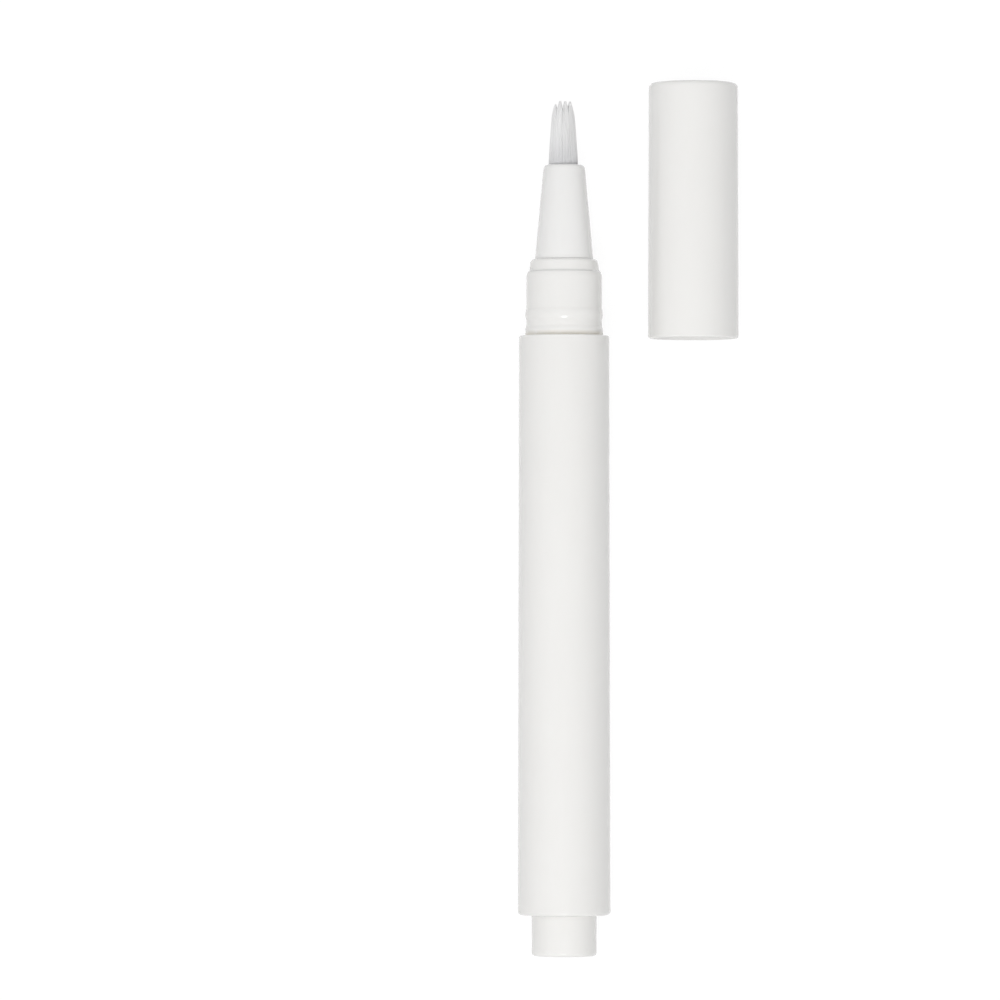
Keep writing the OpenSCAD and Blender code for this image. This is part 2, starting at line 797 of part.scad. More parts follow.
module button() {
    notch_r = button_r - slide_gap;
    color(shell_white)
        laid_down()
            difference() {
                turned(concat(
                    [[0, button_end_at]],
                    edge(button_r - button_edge, button_end_at + button_edge, button_edge, -90, 0),
                    [
                        [button_r, stop_flange_at], [button_flange_r, stop_flange_at],
                        [button_flange_r, stop_flange_at + button_flange_t],
                        [button_r, stop_flange_at + button_flange_t],
                        [button_r, button_front_at - button_flange_t],
                        [button_flange_r, button_front_at - button_flange_t],
                        [button_flange_r, button_front_at],
                        [button_bore_r, button_front_at],
                        [button_bore_r, button_end_at + button_end_t],
                        [0, button_end_at + button_end_t]
                    ]
                ));
                for (side = [0, 180])
                    rotate([0, 0, side])
                        for (from_share = [0, 0.5])
                            cam_slot_half(from_share);
                // the notch that runs on the barrel's rib
                translate([-key_w / 2 - slide_gap, notch_r, stop_flange_at - slide_gap])
                    cube([
                        key_w + 2 * slide_gap, works_r - notch_r,
                        button_flange_t + 2 * slide_gap
                    ]);
            }
}

module cap_shell() {
    mouth_r = cap_mouth_d / 2;
    top_r = cap_top_d / 2;
    seat_r = cap_bore_r - liner_step;
    color(shell_white)
        beside()
            turned(concat(
                [[cap_bore_r, 0]],
                edge(mouth_r - cap_mouth_edge, cap_mouth_edge, cap_mouth_edge, -90, 0),
                edge(top_r - cap_edge, cap_len - cap_edge, cap_edge, 0, 90),
                [
                    [0, cap_len], [0, cap_len - cap_end_t],
                    [seat_r, cap_len - cap_end_t], [seat_r, cap_bore_depth],
                    [cap_bore_r, cap_bore_depth]
                ]
            ));
}

module cap_liner() {
    inner_r = liner_r - liner_wall;
    lip_r = inner_r - liner_lip;
    end_at = cap_len - cap_end_t;
    color(nozzle_white)
        beside()
            turned([
                [lip_r, cap_bore_depth + liner_lip], [lip_r + liner_lip, cap_bore_depth],
                [liner_r, cap_bore_depth], [liner_r, end_at],
                [0, end_at], [0, end_at - liner_end_t],
                [inner_r, end_at - liner_end_t],
                [inner_r, cap_bore_depth + liner_lip + liner_lip_len + liner_lip],
                [lip_r, cap_bore_depth + liner_lip + liner_lip_len]
            ]);
}

barrel();
collar();
nozzle_ring();
nozzle();
brush_ferrule();
brush_tuft();
feed_tube();
drive_nut();
check_pawls();
spring_seat();
piston();
piston_seal();
feed_screw();
drive_sleeve();
cam_rotor();
drive_pawls();
return_spring();
button();
cap_shell();
cap_liner();
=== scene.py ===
# %% [markdown]
# # A click brush pen with its cap off
# A white plastic pen feeds oil to a small nylon brush: each push of the button at its
# tail turns a screw that moves a piston. The pen lies on a pale table and its cap lies
# beside it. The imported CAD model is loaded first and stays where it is. Every piece
# that shows is then turned, swept or grown again with finer detail, and each one rides
# on the CAD body that it belongs to, so that the button and the cap still move.

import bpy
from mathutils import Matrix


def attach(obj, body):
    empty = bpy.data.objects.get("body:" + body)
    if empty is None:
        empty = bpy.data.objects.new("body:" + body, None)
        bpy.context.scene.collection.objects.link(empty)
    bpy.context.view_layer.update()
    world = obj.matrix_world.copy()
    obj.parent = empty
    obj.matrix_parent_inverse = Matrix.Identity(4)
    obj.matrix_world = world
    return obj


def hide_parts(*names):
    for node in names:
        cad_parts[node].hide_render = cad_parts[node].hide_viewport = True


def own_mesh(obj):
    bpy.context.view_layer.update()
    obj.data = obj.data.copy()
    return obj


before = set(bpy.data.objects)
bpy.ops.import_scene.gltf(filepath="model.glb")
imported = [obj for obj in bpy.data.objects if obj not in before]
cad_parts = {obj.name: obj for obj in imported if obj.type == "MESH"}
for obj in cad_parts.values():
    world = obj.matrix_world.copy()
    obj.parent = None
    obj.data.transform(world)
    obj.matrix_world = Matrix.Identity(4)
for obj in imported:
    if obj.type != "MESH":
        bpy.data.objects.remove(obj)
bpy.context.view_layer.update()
print("nodes:", ", ".join(sorted(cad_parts)))

# %% [markdown]
# ## Units and places
# Blender measures in metres, but a pen is easier to think of in millimetres, so every
# size below is written in millimetres and scaled once, when a mesh is finished. Along
# the pen, 0 is the rim of the barrel that the cap lands on, the brush is on the plus
# side and the button on the minus side. The pen lies on its widest part, the tail, so
# the tail's radius is also the height of the pen's axis above the table.

# %% Units and the table's height
import math
import random

import bmesh
import bpy
from mathutils import Matrix, Vector

MM = 0.001
WHITE = (1, 1, 1, 1)
TAIL_RADIUS = 6.675
TABLE_HEIGHT = -TAIL_RADIUS
print("the table lies at", TABLE_HEIGHT, "mm")

# %% [markdown]
# ## The camera
# The photograph looks straight down on the pen: the near edges of its round ends bulge
# by one to four pixels, more at the cap than at the tail, and that gives a distance of
# about a metre and a centre nearer the tail. The picture was cropped afterwards, which
# a camera does with a shift of its lens. The lens follows from the width that the
# picture covers at the height of the pen's axis.

# %% The camera
PICTURE_WIDTH = 144
PICTURE_CENTRE = (-9.24, -23.66)
CAMERA_PLACE = (-9.24, -40, 1000)
lens = bpy.data.cameras.new("camera")
lens.lens = lens.sensor_width * CAMERA_PLACE[2] / PICTURE_WIDTH
lens.shift_y = (PICTURE_CENTRE[1] - CAMERA_PLACE[1]) / PICTURE_WIDTH
lens.clip_start = 0.01
camera = bpy.data.objects.new("camera", lens)
camera.location = Vector(CAMERA_PLACE) * MM
bpy.context.collection.objects.link(camera)
bpy.context.scene.camera = camera
bpy.context.scene.view_settings.view_transform = "Standard"
print(f"a {lens.lens:.0f} mm lens, {CAMERA_PLACE[2]} mm above the pen")

# %% [markdown]
# ## Wiring nodes
# A material is a small graph. The first helper adds one node, sets its options and then
# fills its inputs, either with a plain value or with a link from another node's output.
# The second starts an empty material. With these two, a graph reads like a recipe.


# %% Helpers for node graphs
def add_node(tree, kind, inputs=None, **options):
    made = tree.nodes.new(kind)
    for option, value in options.items():
        setattr(made, option, value)
    for name, value in (inputs or {}).items():
        if isinstance(value, bpy.types.NodeSocket):
            tree.links.new(value, made.inputs[name])
        else:
            made.inputs[name].default_value = value
    return made


def new_material(name):
    material = bpy.data.materials.new(name)
    material.use_nodes = True
    material.node_tree.nodes.clear()
    return material, material.node_tree


# %% [markdown]
# ## Short names for common nodes
# A few nodes come up again and again: a sum of two numbers, a range stretched to another
# range, a mix of two colours, cloudy noise, and the place of a point on its object. Each
# gets a short helper that returns the output to use. Object coordinates are chosen
# because every finished mesh here has its place in itself, so a pattern stays put when
# the piece moves.


# %% Helpers for common nodes
def maths(tree, operation, first, second):
    """The result of a Math node."""
    return add_node(tree, "ShaderNodeMath", {0: first, 1: second}, operation=operation).outputs[0]


def stretched(tree, value, start, end, low, high, curve="LINEAR"):
    """A value that runs from start to end, made to run from low to high."""
    inputs = {"Value": value, "From Min": start, "From Max": end, "To Min": low, "To Max": high}
    return add_node(tree, "ShaderNodeMapRange", inputs, interpolation_type=curve).outputs[0]


def blended(tree, share, first, second):
    """The first colour where the share is 0, the second where it is 1."""
    inputs = {"Factor": share, 6: first, 7: second}
    return add_node(tree, "ShaderNodeMix", inputs, data_type="RGBA").outputs[2]


def scaled(tree, colour, factor):
    """A colour made lighter or darker."""
    inputs = {0: colour, "Scale": factor}
    return add_node(tree, "ShaderNodeVectorMath", inputs, operation="SCALE").outputs[0]


def noise(tree, place, scale, detail):
    """Cloudy noise round 0.5."""
    inputs = {"Vector": place, "Scale": scale, "Detail": detail}
    return add_node(tree, "ShaderNodeTexNoise", inputs).outputs[0]


def own_place(tree):
    """Where a point lies on its object, in metres."""
    return add_node(tree, "ShaderNodeTexCoord").outputs["Object"]


# %% [markdown]
# ## The surround
# The photograph has a white ground and very even light. A bright surround gives most of
# it. The surround lights the pen softly, but the camera, the pen's gloss and anything
# clear see it as plain white, through the Light Path node. So the background can be
# white without more light falling on the pen, whose own whites would then burn out.

# %% The surround
SURROUND_LIGHT = 0.453


def seen_directly(tree):
    """1 where a ray comes from the camera, a mirror or clear plastic, else 0."""
    path = add_node(tree, "ShaderNodeLightPath").outputs
    shiny = maths(tree, "MAXIMUM", path["Is Glossy Ray"], path["Is Transmission Ray"])
    return maths(tree, "MAXIMUM", path["Is Camera Ray"], shiny)


world = bpy.data.worlds.new("studio")
world.use_nodes = True
studio = world.node_tree
studio.nodes.clear()
lighting = add_node(studio, "ShaderNodeBackground", {"Color": WHITE, "Strength": SURROUND_LIGHT})
white = add_node(studio, "ShaderNodeBackground", {"Color": WHITE, "Strength": 1})
chosen = add_node(studio, "ShaderNodeMixShader", {
    0: seen_directly(studio), 1: lighting.outputs[0], 2: white.outputs[0],
})
add_node(studio, "ShaderNodeOutputWorld", {0: chosen.outputs[0]})
bpy.context.scene.world = world
print("a surround of strength", SURROUND_LIGHT)

# %% [markdown]
# ## The table
# The table bounces some light back to the underside of the pen, as pale card does, and
# that is its first material. To the camera it is a second one: nearly white of itself,
# with a little plain paint on top. The paint is what darkens under the pen, so the
# object keeps its shadow on a ground that otherwise melts into the surround.

# %% The table
TABLE_TONE = (0.62, 0.62, 0.62, 1)
SHADOW_TONE = (0.14, 0.14, 0.14, 1)
TABLE_GLOW = 0.9
TABLE_HALF_WIDTH = 3000
table_paint, tree = new_material("white table")
bouncing = add_node(tree, "ShaderNodeBsdfDiffuse", {"Color": TABLE_TONE})
shadowed = add_node(tree, "ShaderNodeBsdfDiffuse", {"Color": SHADOW_TONE})
glowing = add_node(tree, "ShaderNodeEmission", {"Color": WHITE, "Strength": TABLE_GLOW})
lifted = add_node(tree, "ShaderNodeAddShader", {0: shadowed.outputs[0], 1: glowing.outputs[0]})
shown = add_node(tree, "ShaderNodeMixShader", {
    0: seen_directly(tree), 1: bouncing.outputs[0], 2: lifted.outputs[0],
})
add_node(tree, "ShaderNodeOutputMaterial", {"Surface": shown.outputs[0]})
bm = bmesh.new()
bmesh.ops.create_grid(bm, x_segments=4, y_segments=4, size=TABLE_HALF_WIDTH * MM)
bmesh.ops.translate(bm, verts=bm.verts, vec=(0, 0, TABLE_HEIGHT * MM))
table_mesh = bpy.data.meshes.new("table")
bm.to_mesh(table_mesh)
bm.free()
table_mesh.materials.append(table_paint)
table = bpy.data.objects.new("table", table_mesh)
bpy.context.collection.objects.link(table)
print("a table", 2 * TABLE_HALF_WIDTH, "mm wide")

# %% [markdown]
# ## The lamps
# Five wide lamps shape the pen: one overhead, one low beyond the brush, one at the left
# and two beyond the tail. They make it brightest along its middle and a little darker
# towards its edges, and they reach into the small steps that face up or down the
# picture. The gloss doesn't show them, only the plain surround, because the photograph
# has no broad streaks. The sixth lamp is small and does show in the gloss: it puts the
# bright spot on the collar's bead.


# %% The lamps
def lamp(name, place, size, watts):
    """A square lamp at a place in millimetres, turned towards the picture's middle."""
    data = bpy.data.lights.new(name, "AREA")
    data.size = size * MM
    data.energy = watts
    made = bpy.data.objects.new(name, data)
    made.location = Vector(place) * MM
    aim = Vector((*PICTURE_CENTRE, 0)) * MM - made.location
    made.rotation_euler = aim.to_track_quat("-Z", "Y").to_euler()
    bpy.context.collection.objects.link(made)
    return made


lamp("overhead_lamp", (0, 0, 900), 1000, 1.4).visible_glossy = False
lamp("brush_lamp", (-60, 850, 400), 600, 1.0).visible_glossy = False
lamp("left_lamp", (-450, 0, 800), 800, 1.2).visible_glossy = False
lamp("tail_lamp_left", (-420, -420, 700), 700, 1.0).visible_glossy = False
lamp("tail_lamp_right", (420, -420, 700), 700, 0.8).visible_glossy = False
lamp("small_lamp", (9, -380, 700), 140, 1.0)

# %% [markdown]
# ## Making a node group
# An effect that several materials use is wired once, as a group with named inputs and
# outputs, and then placed in each material with its own amounts. In Blender 4.5 a
# group's sockets belong to its interface.


# %% A helper for node groups
def new_group(name, inputs, outputs):
    """A group, and the outputs of its input node, which hold what it is given."""
    group = bpy.data.node_groups.new(name, "ShaderNodeTree")
    for label, kind, value in inputs:
        socket = group.interface.new_socket(label, in_out="INPUT", socket_type=kind)
        socket.default_value = value
    for label, kind in outputs:
        group.interface.new_socket(label, in_out="OUTPUT", socket_type=kind)
    return group, add_node(group, "NodeGroupInput").outputs


FLOAT = "NodeSocketFloat"
COLOUR = "NodeSocketColor"

# %% [markdown]
# ## The moulded skin
# Moulded plastic is never one flat colour: it flows into the mould and keeps faint
# cloudy drifts of tone, and the mould's own fine spark-eroded skin leaves a grain of
# about a tenth of a millimetre that softens its shine. Two noises of very different
# size give both. The grain also goes out as a height, for a Bump node in the material.

# %% The group for the moulded skin
skin, given = new_group(
    "moulded skin",
    [
        ("Colour", COLOUR, (0.8, 0.8, 0.8, 1)),
        ("Drift", FLOAT, 0.02),
        ("Drift size", FLOAT, 90),
        ("Grain size", FLOAT, 6000),
        ("Roughness", FLOAT, 0.4),
        ("Roughness spread", FLOAT, 0.08),
    ],
    [("Colour", COLOUR), ("Roughness", FLOAT), ("Height", FLOAT)],
)
CLOUD_DETAIL = 3
GRAIN_DETAIL = 2
CLOUD_RANGE = (0.3, 0.7)
UNEVEN_RANGE = (0.6, 1.4)
place = own_place(skin)
clouds = noise(skin, place, given["Drift size"], CLOUD_DETAIL)
grain = noise(skin, place, given["Grain size"], GRAIN_DETAIL)
darkest = maths(skin, "SUBTRACT", 1.0, given["Drift"])
lightest = maths(skin, "ADD", 1.0, given["Drift"])
tone = stretched(skin, clouds, *CLOUD_RANGE, darkest, lightest)
smoothest = maths(skin, "SUBTRACT", given["Roughness"], given["Roughness spread"])
roughest = maths(skin, "ADD", given["Roughness"], given["Roughness spread"])
uneven = maths(skin, "ADD", clouds, grain)
add_node(skin, "NodeGroupOutput", {
    "Colour": scaled(skin, given["Colour"], tone),
    "Roughness": stretched(skin, uneven, *UNEVEN_RANGE, smoothest, roughest),
    "Height": grain,
})
print(skin.name, "has", len(skin.nodes), "nodes")

# %% [markdown]
# ## Rubbed edges
# Hands and the cap rub a pen's edges smoother and a touch paler. Pointiness says how
# sharply the surface turns, and a patchy noise breaks the wear up, because nothing
# wears evenly.

# %% The group for rubbed edges
rubbed, given = new_group(
    "rubbed edges",
    [
        ("Colour", COLOUR, (0.8, 0.8, 0.8, 1)),
        ("Worn colour", COLOUR, (0.9, 0.9, 0.9, 1)),
        ("Roughness", FLOAT, 0.4),
        ("Polish", FLOAT, 0.1),
    ],
    [("Colour", COLOUR), ("Roughness", FLOAT)],
)
EDGE_RANGE = (0.52, 0.6)
PATCH_SCALE = 900
PATCH_DETAIL = 4
PATCH_RANGE = (0.4, 0.6)
turning = add_node(rubbed, "ShaderNodeNewGeometry").outputs["Pointiness"]
edge = stretched(rubbed, turning, *EDGE_RANGE, 0, 1)
patchy = noise(rubbed, own_place(rubbed), PATCH_SCALE, PATCH_DETAIL)
worn = maths(rubbed, "MULTIPLY", edge, stretched(rubbed, patchy, *PATCH_RANGE, 0, 1))
polish = maths(rubbed, "MULTIPLY", worn, given["Polish"])
add_node(rubbed, "NodeGroupOutput", {
    "Colour": blended(rubbed, worn, given["Colour"], given["Worn colour"]),
    "Roughness": maths(rubbed, "SUBTRACT", given["Roughness"], polish),
})
print(rubbed.name, "has", len(rubbed.nodes), "nodes")

# %% [markdown]
# ## A material for moulded plastic
# All the plastics come from one function: the colour and the amounts differ, the wiring doesn't.
# White plastic also lets light creep a fraction of a millimetre through its surface, which keeps its
# creases and edges from going grey. The Principled shader's subsurface does that, and its depth
# stays shallow, because deeper light would darken the thin rims. The collar's foot is painted a
# darker beige between two heights: painted shade for the seam where the collar meets the barrel,
# with a beige tint, and no piece of its own.

# %% A function for plastics
ROUGHNESS_SPREAD = 0.03
GLOW_DEPTH = 0.2
PLASTIC_IOR = 1.49
WORN_TINT = 1.02
# a beige-tinted painted shade for the seam at the collar's foot
BEIGE_SEAM_SHADE = (0.80, 0.765, 0.69, 1)


def seam_shaded(tree, colour, seam):
    """The colour, turning to a beige painted shade from the seam's second height down to its first.
    """
    height = add_node(tree, "ShaderNodeSeparateXYZ", {0: own_place(tree)}).outputs["Y"]
    return blended(tree, stretched(tree, height, seam[1] * MM, seam[0] * MM, 0, 1), colour, BEIGE_SEAM_SHADE)


def plastic(name, colour, drift=0.005, roughness=0.16, grain=0.0006, glow=0.0, seam=None):
    """A moulded plastic. Grain is the depth of the skin's texture in millimetres."""
    material, tree = new_material(name)
    body = add_node(tree, "ShaderNodeGroup", {}, node_tree=skin)
    body.inputs["Colour"].default_value = (*colour, 1)
    body.inputs["Drift"].default_value = drift
    body.inputs["Roughness"].default_value = roughness
    body.inputs["Roughness spread"].default_value = ROUGHNESS_SPREAD
    own_colour = body.outputs["Colour"]
    # the seam's band gets its beige painted shade here
    if seam:
        own_colour = seam_shaded(tree, own_colour, seam)
    edges = add_node(tree, "ShaderNodeGroup", {}, node_tree=rubbed)
    tree.links.new(own_colour, edges.inputs["Colour"])
    tree.links.new(body.outputs["Roughness"], edges.inputs["Roughness"])
    edges.inputs["Worn colour"].default_value = (*[min(1, c * WORN_TINT) for c in colour], 1)
    relief = add_node(tree, "ShaderNodeBump", {
        "Height": body.outputs["Height"], "Distance": grain * MM, "Strength": 1,
    })
    surface = add_node(tree, "ShaderNodeBsdfPrincipled", {
        "Base Color": edges.outputs["Colour"],
        "Roughness": edges.outputs["Roughness"],
        "Normal": relief.outputs[0],
        "IOR": PLASTIC_IOR,
        "Subsurface Weight": glow,
        "Subsurface Radius": (1, 1, 1),
        "Subsurface Scale": GLOW_DEPTH * MM,
    })
    add_node(tree, "ShaderNodeOutputMaterial", {"Surface": surface.outputs[0]})
    return material


# %% [markdown]
# ## The plastics
# The barrel, collar, button and cap are one warm white polypropylene with a satin skin. The button's
# copy is a touch lighter: painted light, for the extra light that reaches it at the tail. The nozzle
# is a slightly cooler, clearer grade. The works inside are the same family of plastics, left
# plainer, and the piston's seal is black rubber.

# %% Plastic materials
SHELL_TONE = (0.872, 0.865, 0.849)
SHELL_GLOW = 0.8
shell_white = plastic("satin white shell", SHELL_TONE, glow=SHELL_GLOW)
# below 0.7 mm the collar is darkened beige, as painted shade in the seam
collar_white = plastic("satin white collar", SHELL_TONE, glow=SHELL_GLOW, seam=(0.1, 0.7))
# the button's slightly lighter tone is painted light for the light it gets at the tail
lit_button_white = plastic("satin white button, painted lighter", (0.882, 0.875, 0.857), glow=SHELL_GLOW)
nozzle_white = plastic("natural white nozzle", (0.866, 0.862, 0.853), glow=SHELL_GLOW)
liner_white = plastic("natural liner", (0.80, 0.80, 0.78), roughness=0.32)
works_white = plastic("white works", (0.74, 0.74, 0.71), roughness=0.42)
works_grey = plastic("grey works", (0.27, 0.29, 0.33), roughness=0.4)
tube_clear = plastic("clear feed tube", (0.72, 0.73, 0.74), roughness=0.25)
seal_black = plastic("black rubber seal", (0.02, 0.02, 0.022), drift=0.2, roughness=0.6, grain=0.01)
print("plastics:", ", ".join(m.name for m in bpy.data.materials))

# %% [markdown]
# ## Turning a piece
# Almost everything here is round, as on a lathe. A turned piece starts as the outline
# of half its section, a closed loop of corners. Each corner that the mould rounds off
# is bevelled while the outline is still a bare wire, which gives a true arc, and a full
# spin about the pen's axis then makes the skin. Corners on the axis stay open, and
# merging the doubles closes them to a point.

# %% A helper for turned pieces
SIDES = 128
ARC_SEGMENTS = 6
SAME_POINT = 0.0005


def turned(outline):
    """A bmesh spun about Y from corners of (radius, height, rounding), in millimetres."""
    bm = bmesh.new()
    corners = [bm.verts.new((radius, height, 0)) for radius, height, *_ in outline]
    for here, there in zip(corners, corners[1:] + corners[:1]):
        if here.co.x > 0 or there.co.x > 0:
            bm.edges.new((here, there))
    for corner, (_, _, *rounding) in zip(corners, outline):
        if rounding:
            bmesh.ops.bevel(
                bm, geom=[corner], offset=rounding[0], offset_type="OFFSET", segments=ARC_SEGMENTS,
                profile=0.5, affect="VERTICES", material=-1,
            )
    bmesh.ops.spin(
        bm, geom=bm.verts[:] + bm.edges[:], cent=(0, 0, 0), axis=(0, 1, 0), angle=math.tau,
        steps=SIDES, use_merge=True,
    )
    bmesh.ops.remove_doubles(bm, verts=bm.verts, dist=SAME_POINT)
    bmesh.ops.recalc_face_normals(bm, faces=bm.faces)
    return bm


# %% [markdown]
# ## Finishing a piece
# A finished mesh is moved to its place and scaled to metres in itself, so that its
# object can stay at the origin, as a CAD node's does. Smooth shading hides the facets,
# and edges that turn more sharply than the angle below stay crisp. Then the piece rides
# on its body, stands for its CAD node and takes that node's finish.

# %% A helper that finishes a piece
CRISP_ANGLE = math.radians(32)


def finish_piece(bm, name, body, node, material, place=(0, 0, 0)):
    """Puts a mesh in its place, gives it its finish and makes it stand for its CAD node."""
    bmesh.ops.translate(bm, verts=bm.verts, vec=place)
    bmesh.ops.scale(bm, verts=bm.verts, vec=(MM, MM, MM))
    mesh = bpy.data.meshes.new(name)
    bm.to_mesh(mesh)
    bm.free()
    mesh.shade_smooth()
    mesh.set_sharp_from_angle(angle=CRISP_ANGLE)
    mesh.materials.append(material)
    piece = bpy.data.objects.new(name, mesh)
    bpy.context.collection.objects.link(piece)
    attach(piece, body)
    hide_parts(node)
    print(f"{name}: {len(mesh.polygons)} faces")
    return piece


# %% [markdown]
# ## Cutting and joining
# Slots and ribs aren't round, so a lathe can't make them. A mould forms them with small
# inserts, and the exact Boolean modifier does the same to a mesh: it takes a second shape
# away from the first, or joins the two into one closed skin. Both bmeshes become objects
# for a moment, and the result is read back as a bmesh. Merging what lies closer than a
# thousandth of a millimetre clears the slivers that a Boolean can leave.

# %% A helper that cuts or joins
SLIVER = 0.001


def combined(bm, other, operation):
    """One bmesh from two, by an exact Boolean: DIFFERENCE cuts, UNION joins."""
    helpers = []
    for source in (bm, other):
        mesh = bpy.data.meshes.new("helper")
        source.to_mesh(mesh)
        source.free()
        helpers.append(bpy.data.objects.new("helper", mesh))
        bpy.context.collection.objects.link(helpers[-1])
    step = helpers[0].modifiers.new("step", "BOOLEAN")
    step.operation = operation
    step.solver = "EXACT"
    step.object = helpers[1]
    result = bmesh.new()
    result.from_object(helpers[0], bpy.context.evaluated_depsgraph_get())
    for helper in helpers:
        mesh = helper.data
        bpy.data.objects.remove(helper)
        bpy.data.meshes.remove(mesh)
    bmesh.ops.remove_doubles(result, verts=result.verts, dist=SLIVER)
    bmesh.ops.dissolve_degenerate(result, edges=result.edges, dist=SLIVER)
    open_edges = sum(not edge.is_manifold for edge in result.edges)
    print(f"{operation.lower()}: {len(result.faces)} faces, {open_edges} open edges")
    return result


# %% [markdown]
# ## The barrel
# The barrel is a long tube that swells by a third of a millimetre towards the button,
# because a mould needs that draft to let go of it. A recess in its mouth takes the
# collar's flange and leaves the thin shadow line that the photograph shows. A lip at
# the tail keeps the button in, and a rib behind the lip keeps it from turning. The tube
# is turned, and the rib, a small bar, is joined to its bore.

# %% The barrel
TAIL = -83.4
TAIL_HOLE = 4.78
LIP = 1.6
MOUTH_RADIUS = 6.5
RECESS = 5.65
RECESS_DEPTH = 0.5
BORE = 5.3
WORKS_BORE = 5.15
SEAT_REAR = -52.75
RIB_SIZE = (1.2, 5, 0.5)
RIB_PLACE = (0, TAIL + LIP + 1.7, -WORKS_BORE + 0.13)
bm = turned([
    (TAIL_HOLE, TAIL, 0.08), (TAIL_RADIUS, TAIL, 0.5),
    (MOUTH_RADIUS, 0, 0.3), (RECESS, 0, 0.05), (RECESS, -RECESS_DEPTH), (BORE, -RECESS_DEPTH),
    (BORE, SEAT_REAR), (WORKS_BORE, SEAT_REAR),
    (WORKS_BORE, TAIL + LIP), (TAIL_HOLE, TAIL + LIP),
])
rib = bmesh.new()
bmesh.ops.create_cube(rib, size=1)
bmesh.ops.scale(rib, verts=rib.verts, vec=RIB_SIZE)
bmesh.ops.translate(rib, verts=rib.verts, vec=RIB_PLACE)
bm = combined(bm, rib, "UNION")
finish_piece(bm, "barrel_tube", "barrel", "barrel", shell_white)

# %% [markdown]
# ## The collar
# The cap slides over the collar and is held by the friction of its low round bead. The
# bead is one corner of the outline with a very wide bevel. Below the bead the collar
# widens to the flange that sits in the barrel's recess, and a plug under the flange
# reaches down the bore. A floor across the collar has only a narrow hole for the oil.

# %% The collar
COLLAR = 5.45
COLLAR_TOP = 9.2
BEAD_FOOT, BEAD_MIDDLE, BEAD_HEAD = 2.3, 3.1, 3.9
FLANGE = 5.6
FLANGE_TOP = 0.9
PLUG = 5.28
PLUG_WALL = 1.1
PLUG_END = -7
NECK_BORE = 3.92
NECK_FLOOR = 1
OIL_HOLE = 0.62
bm = turned([
    (PLUG - PLUG_WALL, PLUG_END), (PLUG, PLUG_END, 0.2),
    (PLUG, -RECESS_DEPTH), (FLANGE, -RECESS_DEPTH),
    (FLANGE, FLANGE_TOP, 0.12), (COLLAR, FLANGE_TOP + 0.45, 0.12),
    (COLLAR, BEAD_FOOT, 0.15), (FLANGE + 0.1, BEAD_MIDDLE, 0.6), (COLLAR, BEAD_HEAD, 0.15),
    (COLLAR, COLLAR_TOP - 0.6, 0.3), (COLLAR - 0.2, COLLAR_TOP, 0.06), (NECK_BORE, COLLAR_TOP),
    (NECK_BORE, NECK_FLOOR), (OIL_HOLE, NECK_FLOOR),
    (OIL_HOLE, -NECK_FLOOR), (PLUG - PLUG_WALL, -NECK_FLOOR),
])
finish_piece(bm, "cap_collar", "barrel", "collar", collar_white)

# %% [markdown]
# ## The ring
# Above the collar a narrow ring clamps the nozzle. The photograph shows its foot as a
# soft, broad line, so the ring widens there in a low cove, and its top edge has a large
# rounding.

# %% The ring
RING = 4.84
RING_TOP = 11.0
COVE_REACH = 5.2
COVE_HEIGHT = 0.14
bm = turned([
    (NECK_BORE, COLLAR_TOP), (COVE_REACH, COLLAR_TOP),
    (COVE_REACH - 0.2, COLLAR_TOP + COVE_HEIGHT, 0.2),
    (RING, RING_TOP, 0.55), (NECK_BORE, RING_TOP),
])
finish_piece(bm, "clamping_ring", "barrel", "nozzle_ring", shell_white)

# %% [markdown]
# ## The nozzle
# The nozzle is a plain cone with a soft round mouth. Its stem stands in the collar's
# neck and its foot spreads over the ring. A socket in its mouth takes the brush, a
# narrow channel lets the oil through, and the hollow stem saves plastic.

# %% The nozzle
NOZZLE_TOP = 24.6
STEM = 3.9
STEM_BORE = 2.6
STEM_ROOF = 14
CONE_FOOT = 4.2
CONE_MOUTH = 2.945
SOCKET = 2.2
SOCKET_FLOOR = 19
bm = turned([
    (STEM_BORE, NECK_FLOOR), (STEM, NECK_FLOOR), (STEM, RING_TOP), (CONE_FOOT, RING_TOP, 0.03),
    (CONE_MOUTH, NOZZLE_TOP, 0.6), (SOCKET, NOZZLE_TOP, 0.12),
    (SOCKET, SOCKET_FLOOR), (OIL_HOLE, SOCKET_FLOOR), (OIL_HOLE, STEM_ROOF), (STEM_BORE, STEM_ROOF),
])
finish_piece(bm, "nozzle_cone", "barrel", "nozzle", nozzle_white)

# %% [markdown]
# ## The path of one filament
# The brush is several hundred nylon filaments, melted together at the root and
# pressed into the nozzle round the end of the feed tube. Wet with oil, their tips
# draw together into a few points. A filament's root sits on an even spiral that fills
# the socket, its distance from the axis on the way up follows the photograph's outline,
# and its tip leans towards the nearest point of the brush.

# %% Where the filaments go
FILAMENTS = 860
BRUSH_LENGTH = 9.2
ROOT_RADIUS = 2.1
TUBE_RADIUS = 0.6
TUBE_GAP = 0.1
GOLDEN_TURN = math.radians(137.508)
GATHER = 0.65
GATHER_POWER = 12
POINT_SLOPE = 0.3
UNEVEN_LENGTH = 0.12
WOBBLE = 0.03
TAPER = 0.45
TAPER_POWER = 6
OFF_CENTRE = 0.13
LEAN = 0.05
BRUSH_WIDTHS = [
    (-0.24, 1.97), (0, 2.07), (0.12, 2.05), (0.3, 1.94), (0.5, 1.83),
    (0.68, 1.71), (0.82, 1.62), (0.92, 1.52), (1, 1.42),
]
TIP_WIDTH = BRUSH_WIDTHS[-1][1]
TIP_POINTS = [
    (-1.08, 0.45, 0.5), (-0.4, 0.55, 0.0), (0.31, 0.55, 0.05), (1.0, 0.45, 0.08),
    (-1.03, -0.5, 0.7), (-0.38, -0.7, 0.3), (0.33, -0.7, 0.25), (0.97, -0.5, 0.35),
]


